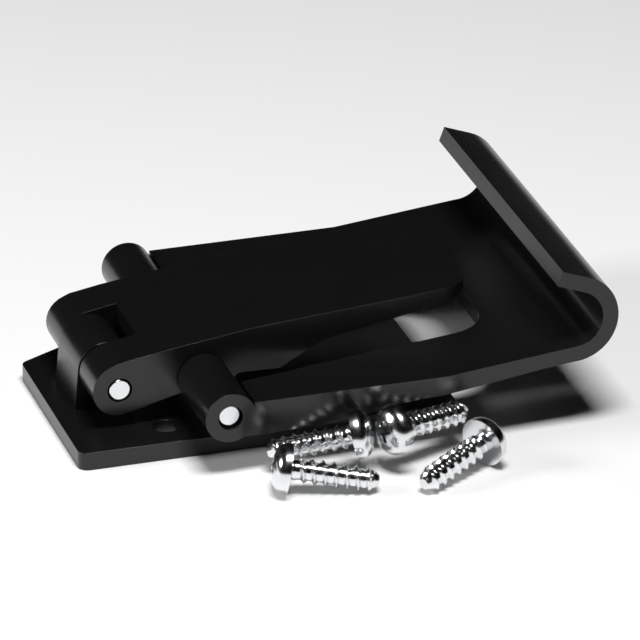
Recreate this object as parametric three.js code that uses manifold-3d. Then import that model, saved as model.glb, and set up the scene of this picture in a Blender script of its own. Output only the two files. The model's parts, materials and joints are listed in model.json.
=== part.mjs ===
// Over-centre draw latch: a base plate with a hinge post, a forked lever, a U-shaped claw,
// two steel hinge pins and four loose pan-head screws. Millimetres, +Z up.
// The origin is the centre of the base plate's underside; the claw's hook points to +X.
import * as THREE from 'three';
import Module from 'manifold-3d';

const wasm = await Module();
wasm.setup();
const { Manifold, CrossSection } = wasm;

// Driving dimensions
const BASE_L = 71.4;
const BASE_HALF_W = 24.3;
const BASE_T = 3.4;
const BASE_CORNER_X = 15.5;
const BASE_CORNER_Y = 16.0;
const BASE_LEFT = -BASE_L / 2;
const SCREW_HOLE_R = 2.5;
const SCREW_HOLE_INSET = 18.0;
const SCREW_HOLE_Y = 17.5;

const PIN_R = 2.0;
const PIN_FIT = 0.3;
const PIN_1 = { x: BASE_LEFT + 9.85, z: 11.0 };
const PIN_2 = { x: BASE_LEFT + 25.3, z: 11.6 };

const POST_HALF_W = 6.5;
const POST_R = 5.2;
const POST_FOOT = 6.05;

const LEVER_HALF_W = 16.05;
const LEVER_END = BASE_LEFT + 76.2;
const LEVER_END_R = 4.7;
const LEVER_SKIN = 2.6;
const CHEEK_T = 2.8;
const FORK_HALF_W = 6.85;
const FORK_END = PIN_1.x + 5.85;
const EAR_R = 5.0;

const CLAW_HALF_W = 34.3;
const BARREL_R = 4.7;
const BARREL_INNER = 16.4;
const BARREL_RECESS = 1.0;
const ARM_START = BASE_LEFT + 29.8;
const ARM_TOP = 14.1;
const PLATE_T = 3.0;
const SLOT_END = BASE_LEFT + 79.0;
const SLOT_WIDE = 25.3;
const SLOT_NARROW = 18.5;
const SLOT_NECK = BASE_LEFT + 64.7;
const SLOT_R = 6.5;
const CURL = { x: BASE_LEFT + 90.0, z: 22.05, outer: 8.4, inner: 5.46 };
const CURL_SWEEP = 70;
const LIP_L = 5.5;

const HEAD_R = 4.65;
const HEAD_H = 3.4;
const THREAD_R = 2.4;
const ROOT_R = 1.75;
const SHANK_L = 16.0;
const CRESTS = 7;

const STEPS = 48;

const rad = (degrees) => (degrees * Math.PI) / 180;

// Points of an arc about (cx, cz), from one angle to another in degrees
function arc(cx, cz, r, from, to, count = 14) {
  const points = [];
  for (let i = 0; i <= count; i++) {
    const a = rad(from + ((to - from) * i) / count);
    points.push([cx + r * Math.cos(a), cz + r * Math.sin(a)]);
  }
  return points;
}

// Side outline in X and Z, carried along Y between two planes
function sideBody(points, yLow, yHigh) {
  const section = new CrossSection([points], 'NonZero');
  return section.extrude(yHigh - yLow).rotate([90, 0, 0]).translate([0, yHigh, 0]);
}

// Plan outline in X and Y, carried up between two heights
function planBody(points, zLow, zHigh) {
  const section = new CrossSection([points], 'NonZero');
  return section.extrude(zHigh - zLow).translate([0, 0, zLow]);
}

// Cylinder along Y
function rod(centre, r, yLow, yHigh) {
  return Manifold.cylinder(yHigh - yLow, r, r, STEPS)
    .rotate([90, 0, 0])
    .translate([centre.x, yHigh, centre.z]);
}

function box(x0, x1, y0, y1, z0, z1) {
  return Manifold.cube([x1 - x0, y1 - y0, z1 - z0]).translate([x0, y0, z0]);
}

function basePlate() {
  const right = BASE_LEFT + BASE_L;
  const outline = [
    [BASE_LEFT, -BASE_HALF_W],
    [right, -BASE_HALF_W],
    [right, BASE_HALF_W],
    [BASE_LEFT + BASE_CORNER_X, BASE_HALF_W],
    [BASE_LEFT, BASE_CORNER_Y],
  ];
  const section = new CrossSection([outline], 'NonZero').offset(-1.8, 'Round').offset(1.8, 'Round', 2, 24);
  const plate = section.extrude(BASE_T);
  const post = sideBody(
    [
      [PIN_1.x - POST_FOOT, BASE_T - 1],
      [PIN_1.x + POST_R, BASE_T - 1],
      ...arc(PIN_1.x, PIN_1.z, POST_R, 0, 180, 24),
    ],
    -POST_HALF_W,
    POST_HALF_W,
  );
  let body = plate.add(post).subtract(rod(PIN_1, PIN_R + PIN_FIT, -POST_HALF_W - 1, POST_HALF_W + 1));
  for (const x of [BASE_LEFT + SCREW_HOLE_INSET, right - SCREW_HOLE_INSET / 2]) {
    for (const y of [-SCREW_HOLE_Y, SCREW_HOLE_Y]) {
      body = body.subtract(Manifold.cylinder(BASE_T + 2, SCREW_HOLE_R, SCREW_HOLE_R, 32).translate([x, y, -1]));
    }
  }
  return body;
}

// Top and underside of the lever, from the fork to its tip
const leverTop = [
  [76.2, 23.2],
  [63.1, 22.05],
  [53.4, 21.3],
  [43.9, 20.6],
  [34.2, 19.8],
  [24.7, 18.5],
  [15.1, 17.2],
  [9.3, 16.2],
].map(([x, z]) => [BASE_LEFT + x, z]);
const leverUnder = [
  [32.3, 11.4],
  [40.0, 11.2],
  [42.5, 12.7],
  [48.7, 15.9],
  [58.1, 17.4],
  [70.8, 20.0],
  [76.2, 20.8],
].map(([x, z]) => [BASE_LEFT + x, z]);

function lever() {
  const profile = [
    ...arc(PIN_1.x, PIN_1.z, EAR_R, 110, 270),
    [PIN_1.x + 7.15, PIN_1.z - 3.2],
    ...arc(PIN_2.x, PIN_2.z, EAR_R - 0.3, 215, 330),
    ...leverUnder,
    ...leverTop,
  ];
  const side = sideBody(profile, -LEVER_HALF_W, LEVER_HALF_W);
  const plan = new CrossSection(
    [
      [
        [PIN_1.x - 10, -LEVER_HALF_W],
        [LEVER_END, -LEVER_HALF_W],
        [LEVER_END, LEVER_HALF_W],
        [PIN_1.x - 10, LEVER_HALF_W],
      ],
    ],
    'NonZero',
  )
    .offset(-LEVER_END_R, 'Round')
    .offset(LEVER_END_R, 'Round', 2, 32)
    .extrude(40);
  const hollowWidth = LEVER_HALF_W - CHEEK_T;
  const hollowStart = PIN_2.x + 7.0;
  const hollow = sideBody(
    [
      [hollowStart, 0],
      [LEVER_END - CHEEK_T, 0],
      ...leverTop
        .filter(([x]) => x > hollowStart)
        .map(([x, z]) => [Math.min(x, LEVER_END - CHEEK_T), z - LEVER_SKIN]),
      [hollowStart, 19.4 - LEVER_SKIN],
    ],
    -hollowWidth,
    hollowWidth,
  );
  return side
    .intersect(plan)
    .subtract(hollow)
    .subtract(box(PIN_1.x - 20, FORK_END, -FORK_HALF_W, FORK_HALF_W, -1, 40))
    .subtract(rod(PIN_1, PIN_R + PIN_FIT, -40, 40))
    .subtract(rod(PIN_2, PIN_R + PIN_FIT, -40, 40));
}

// Rail under the claw's outer edges: deep at the barrels, shallow at the hook
const railDepth = [
  [30.0, 6.6],
  [38.0, 6.3],
  [46.0, 6.1],
  [58.0, 4.05],
  [66.6, 3.6],
  [84.0, PLATE_T],
].map(([x, depth]) => [BASE_LEFT + x, depth]);

function plateTop(x) {
  const rise = Math.max(0, x - (BASE_LEFT + 66)) / 24;
  return ARM_TOP + (CURL.z - CURL.outer + PLATE_T - ARM_TOP) * Math.min(1, rise);
}

function claw() {
  const curlEnd = rad(CURL_SWEEP);
  const along = [-Math.sin(curlEnd), Math.cos(curlEnd)];
  const outerEnd = arc(CURL.x, CURL.z, CURL.outer, CURL_SWEEP, CURL_SWEEP, 1)[0];
  const innerEnd = arc(CURL.x, CURL.z, CURL.inner, CURL_SWEEP, CURL_SWEEP, 1)[0];
  const bendX = BASE_LEFT + 66;
  const plate = [
    [ARM_START, ARM_TOP - PLATE_T],
    [bendX, ARM_TOP - PLATE_T],
    ...arc(CURL.x, CURL.z, CURL.outer, -90, CURL_SWEEP, 26),
    [outerEnd[0] + along[0] * LIP_L, outerEnd[1] + along[1] * LIP_L],
    [innerEnd[0] + along[0] * LIP_L, innerEnd[1] + along[1] * LIP_L],
    ...arc(CURL.x, CURL.z, CURL.inner, CURL_SWEEP, -90, 26),
    [bendX, ARM_TOP],
    [ARM_START, ARM_TOP],
  ];
  const rail = [
    ...railDepth.map(([x, depth]) => [x, plateTop(x) - depth]),
    ...railDepth.map(([x]) => [x, plateTop(x) - 0.2]).reverse(),
  ];
  let body = sideBody(plate, -CLAW_HALF_W, CLAW_HALF_W);
  const slot = new CrossSection(
    [
      [
        [ARM_START - 30, -SLOT_WIDE],
        [ARM_START, -SLOT_WIDE],
        [SLOT_NECK, -SLOT_NARROW],
        [SLOT_END, -SLOT_NARROW],
        [SLOT_END, SLOT_NARROW],
        [SLOT_NECK, SLOT_NARROW],
        [ARM_START, SLOT_WIDE],
        [ARM_START - 30, SLOT_WIDE],
      ],
    ],
    'NonZero',
  )
    .offset(-SLOT_R, 'Round')
    .offset(SLOT_R, 'Round', 2, 32)
    .extrude(40);
  for (const side of [-1, 1]) {
    const low = side < 0 ? -CLAW_HALF_W : CLAW_HALF_W - 4.2;
    body = body.add(sideBody(rail, low, low + 4.2));
  }
  body = body.subtract(slot);
  for (const side of [-1, 1]) {
    const low = side < 0 ? -CLAW_HALF_W : BARREL_INNER;
    const high = side < 0 ? -BARREL_INNER : CLAW_HALF_W;
    const armLow = side < 0 ? -CLAW_HALF_W : SLOT_WIDE;
    const neck = box(PIN_2.x, ARM_START + 1.5, armLow, armLow + CLAW_HALF_W - SLOT_WIDE, 7.6, 12.0);
    body = body.add(rod(PIN_2, BARREL_R, low, high)).add(neck);
  }
  return body.subtract(rod(PIN_2, PIN_R + PIN_FIT, -40, 40));
}

function pin(centre, halfLength) {
  return rod(centre, PIN_R, -halfLength, halfLength);
}

// One screw, head underside at the origin and shank along -Z; thread rings stand in for the helix
function screw() {
  const outline = [[0, -SHANK_L], [1.2, -SHANK_L], [ROOT_R, -SHANK_L + 1.2]];
  const pitch = (SHANK_L - 2.2) / CRESTS;
  for (let i = 0; i < CRESTS; i++) {
    const z = -SHANK_L + 1.4 + pitch * i;
    outline.push([ROOT_R, z], [THREAD_R, z + pitch * 0.4], [THREAD_R, z + pitch * 0.5], [ROOT_R, z + pitch * 0.9]);
  }
  outline.push([ROOT_R, 0], [HEAD_R, 0], [HEAD_R, HEAD_H * 0.35]);
  outline.push([HEAD_R * 0.86, HEAD_H * 0.75], [HEAD_R * 0.5, HEAD_H * 0.96], [0, HEAD_H]);
  let body = Manifold.revolve(new CrossSection([outline], 'NonZero'), 32);
  for (const turn of [0, 90]) {
    body = body.subtract(Manifold.cube([5, 1.1, 2.2], true).rotate([0, 0, turn]).translate([0, 0, HEAD_H]));
  }
  return body;
}

// Head centre and the direction from head to tip of each loose screw
const SCREWS = [
  { at: [33.5, -43.4, HEAD_R], to: [0.96, -0.28, -0.16] },
  { at: [46.7, -39.8, 7.9], to: [-0.93, 0.34, -0.24] },
  { at: [54.6, -40.0, 7.9], to: [0.93, 0.38, -0.08] },
  { at: [69.5, -43.5, HEAD_R], to: [-0.86, -0.51, -0.16] },
];

function toGeometry(body) {
  const mesh = body.getMesh();
  const geometry = new THREE.BufferGeometry();
  const positions = new Float32Array(mesh.numVert * 3);
  for (let i = 0; i < mesh.numVert; i++) {
    for (let j = 0; j < 3; j++) {
      positions[i * 3 + j] = mesh.vertProperties[i * mesh.numProp + j];
    }
  }
  geometry.setAttribute('position', new THREE.BufferAttribute(positions, 3));
  geometry.setIndex(Array.from(mesh.triVerts));
  geometry.computeVertexNormals();
  return geometry;
}

function named(name, body, look) {
  const mesh = new THREE.Mesh(toGeometry(body), new THREE.MeshStandardMaterial(look));
  mesh.name = name;
  return mesh;
}

const BLACK_NYLON = { color: 0x0c0c0d, roughness: 0.28, metalness: 0 };
const STEEL = { color: 0xd4d6d8, roughness: 0.2, metalness: 1 };

const latch = new THREE.Group();
latch.name = 'draw_latch';
latch.add(named('base_plate', basePlate(), BLACK_NYLON));
latch.add(named('lever', lever(), BLACK_NYLON));
latch.add(named('claw', claw(), BLACK_NYLON));
latch.add(named('hinge_pin', pin(PIN_1, LEVER_HALF_W), STEEL));
latch.add(named('link_pin', pin(PIN_2, CLAW_HALF_W - BARREL_RECESS), STEEL));
SCREWS.forEach(({ at, to }, i) => {
  const mesh = named(`screw_${i + 1}`, screw(), STEEL);
  const direction = new THREE.Vector3(...to).normalize();
  mesh.quaternion.setFromUnitVectors(new THREE.Vector3(0, 0, -1), direction);
  mesh.position.set(BASE_LEFT + at[0], at[1], at[2]);
  latch.add(mesh);
});

export default latch;
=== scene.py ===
"""Black moulded over-centre draw latch with four loose screws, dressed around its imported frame."""

import json
import math

import bmesh
import bpy
import numpy as np
from mathutils import Matrix, Vector


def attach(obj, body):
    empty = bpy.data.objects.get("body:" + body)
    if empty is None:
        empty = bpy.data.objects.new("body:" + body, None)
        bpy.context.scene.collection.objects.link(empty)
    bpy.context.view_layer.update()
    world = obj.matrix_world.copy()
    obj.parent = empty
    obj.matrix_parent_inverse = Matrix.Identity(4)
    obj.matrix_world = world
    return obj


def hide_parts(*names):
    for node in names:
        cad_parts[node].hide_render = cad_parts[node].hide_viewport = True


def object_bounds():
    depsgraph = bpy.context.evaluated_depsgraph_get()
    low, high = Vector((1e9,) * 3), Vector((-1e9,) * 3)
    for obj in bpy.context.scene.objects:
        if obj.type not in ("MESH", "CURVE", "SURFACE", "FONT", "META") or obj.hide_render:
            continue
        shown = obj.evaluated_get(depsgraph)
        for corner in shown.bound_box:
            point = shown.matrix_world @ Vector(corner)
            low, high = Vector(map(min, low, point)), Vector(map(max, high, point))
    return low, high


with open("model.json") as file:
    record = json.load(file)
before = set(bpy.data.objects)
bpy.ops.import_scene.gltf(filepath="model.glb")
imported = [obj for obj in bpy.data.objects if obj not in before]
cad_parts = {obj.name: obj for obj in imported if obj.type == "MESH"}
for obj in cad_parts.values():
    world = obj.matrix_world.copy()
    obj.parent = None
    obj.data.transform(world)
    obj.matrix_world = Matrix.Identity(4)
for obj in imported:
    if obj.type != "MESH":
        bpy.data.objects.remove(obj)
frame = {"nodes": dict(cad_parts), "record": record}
CAD_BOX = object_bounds()

MM = 0.001

# Moulded edges
EDGE_RADIUS = 0.45 * MM
EDGE_SEGMENTS = 3
SHARP_DEGREES = 32

# Screws, as number 10 pan heads
SHANK_SIDES = 48
RINGS_PER_TURN = 16
TURNS = 7.5
CREST_R = 2.38 * MM
ROOT_R = 1.75 * MM
HEAD_R = 4.6 * MM
HEAD_H = 3.35 * MM
HEAD_STEPS = 14
TIP_TAPER = 1.2 * MM
TIP_RATIO = 0.6
CREST_SHARE = 0.28
RECESS_REACH = 2.6 * MM
RECESS_WIDTH = 1.1 * MM
RECESS_DEPTH = 1.7 * MM

# View and studio
VIEW_AZIMUTH = math.radians(-17.3)
VIEW_ELEVATION = math.radians(25.0)
VIEW_DISTANCE = 1.312
VIEW_TARGET = Vector((0.0169, 0.0, 0.0119))
LENS_MM = 402
FLOOR_SIZE = 6.0


def node_tree(name):
    material = bpy.data.materials.new(name)
    material.use_nodes = True
    return material, material.node_tree.nodes, material.node_tree.links


def nylon():
    """Glossy black moulding: a faint flow pattern in the gloss and very fine surface waves."""
    material, nodes, links = node_tree("black_nylon_look")
    shader = nodes["Principled BSDF"]
    shader.inputs["Base Color"].default_value = (0.006, 0.006, 0.0065, 1)
    shader.inputs["IOR"].default_value = 1.5
    place = nodes.new("ShaderNodeTexCoord")
    flow = nodes.new("ShaderNodeTexNoise")
    flow.inputs["Scale"].default_value = 60
    flow.inputs["Detail"].default_value = 4
    gloss = nodes.new("ShaderNodeMapRange")
    gloss.inputs["To Min"].default_value = 0.16
    gloss.inputs["To Max"].default_value = 0.32
    waves = nodes.new("ShaderNodeTexNoise")
    waves.inputs["Scale"].default_value = 500
    bump = nodes.new("ShaderNodeBump")
    bump.inputs["Strength"].default_value = 0.05
    bump.inputs["Distance"].default_value = 0.0002
    links.new(place.outputs["Object"], flow.inputs["Vector"])
    links.new(place.outputs["Object"], waves.inputs["Vector"])
    links.new(flow.outputs["Fac"], gloss.inputs["Value"])
    links.new(gloss.outputs["Result"], shader.inputs["Roughness"])
    links.new(waves.outputs["Fac"], bump.inputs["Height"])
    links.new(bump.outputs["Normal"], shader.inputs["Normal"])
    return material


def steel():
    """Bright plated steel with slight unevenness in its polish."""
    material, nodes, links = node_tree("steel_look")
    shader = nodes["Principled BSDF"]
    shader.inputs["Base Color"].default_value = (0.78, 0.79, 0.8, 1)
    shader.inputs["Metallic"].default_value = 1.0
    place = nodes.new("ShaderNodeTexCoord")
    wear = nodes.new("ShaderNodeTexNoise")
    wear.inputs["Scale"].default_value = 900
    polish = nodes.new("ShaderNodeMapRange")
    polish.inputs["To Min"].default_value = 0.1
    polish.inputs["To Max"].default_value = 0.28
    links.new(place.outputs["Object"], wear.inputs["Vector"])
    links.new(wear.outputs["Fac"], polish.inputs["Value"])
    links.new(polish.outputs["Result"], shader.inputs["Roughness"])
    return material


def floor_look():
    material, nodes, _ = node_tree("floor_look")
    shader = nodes["Principled BSDF"]
    shader.inputs["Base Color"].default_value = (0.93, 0.93, 0.93, 1)
    shader.inputs["Roughness"].default_value = 0.7
    return material


def shade(mesh, degrees=SHARP_DEGREES):
    for face in mesh.polygons:
        face.use_smooth = True
    mesh.set_sharp_from_angle(angle=math.radians(degrees))


def softened(node, name, material, radius=EDGE_RADIUS):
    """A copy of a frame node with its corners rounded inwards, standing for that node."""
    source = frame["nodes"][node]
    mesh = source.data.copy()
    mesh.transform(source.matrix_world)
    shape = bmesh.new()
    shape.from_mesh(mesh)
    bmesh.ops.remove_doubles(shape, verts=shape.verts, dist=1e-6)
    bmesh.ops.dissolve_limit(shape, angle_limit=math.radians(0.5), verts=shape.verts, edges=shape.edges)
    shape.to_mesh(mesh)
    shape.free()
    mesh.materials.clear()
    mesh.materials.append(material)
    piece = bpy.data.objects.new(name, mesh)
    bpy.context.collection.objects.link(piece)
    bevel = piece.modifiers.new("edges", "BEVEL")
    bevel.width = radius
    bevel.segments = EDGE_SEGMENTS
    bevel.limit_method = "ANGLE"
    bevel.angle_limit = math.radians(SHARP_DEGREES)
    bevel.harden_normals = True
    bevel.use_clamp_overlap = True
    shade(mesh)
    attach(piece, body_holding(node))
    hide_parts(node)
    return piece


def body_holding(node):
    bodies = frame["record"]["behaviour"]["bodies"]
    return next(body for body, nodes in bodies.items() if node in nodes)


def screw_axis(node):
    """The head's underside, the direction from head to tip, and the shank's length."""
    source = frame["nodes"][node]
    points = np.array([source.matrix_world @ v.co for v in source.data.vertices])
    middle = points.mean(axis=0)
    axis = np.linalg.svd(points - middle, full_matrices=False)[2][0]
    along = (points - middle) @ axis
    across = np.linalg.norm(points - middle - np.outer(along, axis), axis=1)
    if along[across.argmax()] > 0:
        axis = -axis
        along = -along
    top = along.min()
    underside = Vector(middle + axis * (top + HEAD_H))
    return underside, Vector(axis), along.max() - top - HEAD_H


def shank(length):
    """Helical thread on a tapering blunt shank, along +Z from the head's underside."""
    pitch = length / (TURNS + 0.6)
    rings = int(TURNS * RINGS_PER_TURN)
    shape = bmesh.new()
    loops = []
    for i in range(rings + 1):
        z = length * i / rings
        taper = min(1.0, (length - z) / TIP_TAPER * (1 - TIP_RATIO) + TIP_RATIO)
        loop = []
        for j in range(SHANK_SIDES):
            turn = j / SHANK_SIDES
            phase = (z / pitch - turn) % 1.0
            rise = max(0.0, 1.0 - abs(phase - 0.5) / CREST_SHARE)
            fade = min(1.0, z / pitch, (length - z) / pitch)
            r = (ROOT_R + (CREST_R - ROOT_R) * rise * max(0.0, fade)) * taper
            a = 2 * math.pi * turn
            loop.append(shape.verts.new((r * math.cos(a), r * math.sin(a), z)))
        loops.append(loop)
    join_loops(shape, loops)
    return shape


def join_loops(shape, loops):
    for low, high in zip(loops, loops[1:]):
        count = len(low)
        for j in range(count):
            k = (j + 1) % count
            shape.faces.new((low[j], low[k], high[k], high[j]))
    shape.faces.new(list(reversed(loops[0])))
    shape.faces.new(loops[-1])


def head():
    """Domed pan head from the underside along -Z, before its recess is cut."""
    shape = bmesh.new()
    rings = []
    for i in range(HEAD_STEPS + 1):
        t = i / HEAD_STEPS
        r = max(0.2 * MM, HEAD_R * math.sqrt(1 - t ** 3.2))
        ring = []
        for j in range(SHANK_SIDES):
            a = 2 * math.pi * j / SHANK_SIDES
            ring.append(shape.verts.new((r * math.cos(a), r * math.sin(a), -HEAD_H * t)))
        rings.append(ring)
    join_loops(shape, rings)
    bmesh.ops.recalc_face_normals(shape, faces=shape.faces)
    return shape


def to_object(shape, name):
    bmesh.ops.recalc_face_normals(shape, faces=shape.faces)
    mesh = bpy.data.meshes.new(name)
    shape.to_mesh(mesh)
    shape.free()
    piece = bpy.data.objects.new(name, mesh)
    bpy.context.collection.objects.link(piece)
    return piece


def cut_recess(piece):
    """Takes a cross out of the top of the head."""
    for turn in (0, 90):
        shape = bmesh.new()
        bmesh.ops.create_cube(shape, size=1)
        for vert in shape.verts:
            narrow = 0.55 if vert.co.z > 0 else 1.0
            vert.co.x *= 2 * RECESS_REACH * narrow
            vert.co.y *= RECESS_WIDTH * narrow
            vert.co.z = vert.co.z * 2 * RECESS_DEPTH - HEAD_H
        shape.transform(Matrix.Rotation(math.radians(turn), 4, "Z"))
        cutter = to_object(shape, "recess_cutter")
        cut = piece.modifiers.new("recess", "BOOLEAN")
        cut.operation = "DIFFERENCE"
        cut.solver = "EXACT"
        cut.object = cutter
        bpy.context.view_layer.update()
        evaluated = piece.evaluated_get(bpy.context.evaluated_depsgraph_get())
        result = bpy.data.meshes.new_from_object(evaluated)
        piece.modifiers.remove(cut)
        piece.data = result
        bpy.data.objects.remove(cutter)


def screw(node, material):
    underside, direction, length = screw_axis(node)
    turn = Vector((0, 0, 1)).rotation_difference(direction).to_matrix().to_4x4()
    place = Matrix.Translation(underside) @ turn
    for part, shape in (("shank", shank(length)), ("head", head())):
        piece = to_object(shape, f"{node}_{part}")
        if part == "head":
            cut_recess(piece)
        piece.data.transform(place)
        piece.data.materials.append(material)
        shade(piece.data, 40)
        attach(piece, body_holding(node))
        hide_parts(node)


def area_light(name, place, size, power, target):
    data = bpy.data.lights.new(name, "AREA")
    data.shape = "RECTANGLE"
    data.size, data.size_y = size
    data.energy = power
    lamp = bpy.data.objects.new(name, data)
    bpy.context.collection.objects.link(lamp)
    lamp.location = place
    lamp.rotation_euler = (Vector(target) - Vector(place)).to_track_quat("-Z", "Y").to_euler()


def studio():
    bpy.ops.mesh.primitive_plane_add(size=FLOOR_SIZE, location=(0, 0, CAD_BOX[0][2] - 0.00005))
    floor = bpy.context.object
    floor.name = "floor"
    floor.data.materials.append(floor_look())
    area_light("overhead", (0.0, -0.25, 0.75), (0.3, 0.2), 6, VIEW_TARGET)
    area_light("left", (-0.7, 0.1, 0.35), (0.3, 0.2), 3, VIEW_TARGET)
    bpy.context.scene.view_settings.view_transform = "Standard"


def camera():
    data = bpy.data.cameras.new("camera")
    data.lens = LENS_MM
    data.sensor_width = 36
    eye = bpy.data.objects.new("camera", data)
    bpy.context.collection.objects.link(eye)
    back = Vector(
        (
            math.sin(VIEW_AZIMUTH) * math.cos(VIEW_ELEVATION),
            -math.cos(VIEW_AZIMUTH) * math.cos(VIEW_ELEVATION),
            math.sin(VIEW_ELEVATION),
        )
    )
    eye.location = VIEW_TARGET + back * VIEW_DISTANCE
    eye.rotation_euler = (-back).to_track_quat("-Z", "Y").to_euler()
    bpy.context.scene.camera = eye


black = nylon()
bright = steel()
for part in ("base_plate", "lever", "claw"):
    softened(part, f"{part}_moulding", black)
for part in ("hinge_pin", "link_pin"):
    softened(part, f"{part}_rod", bright, 0.25 * MM)
for number in range(1, 5):
    screw(f"screw_{number}", bright)
studio()
camera()
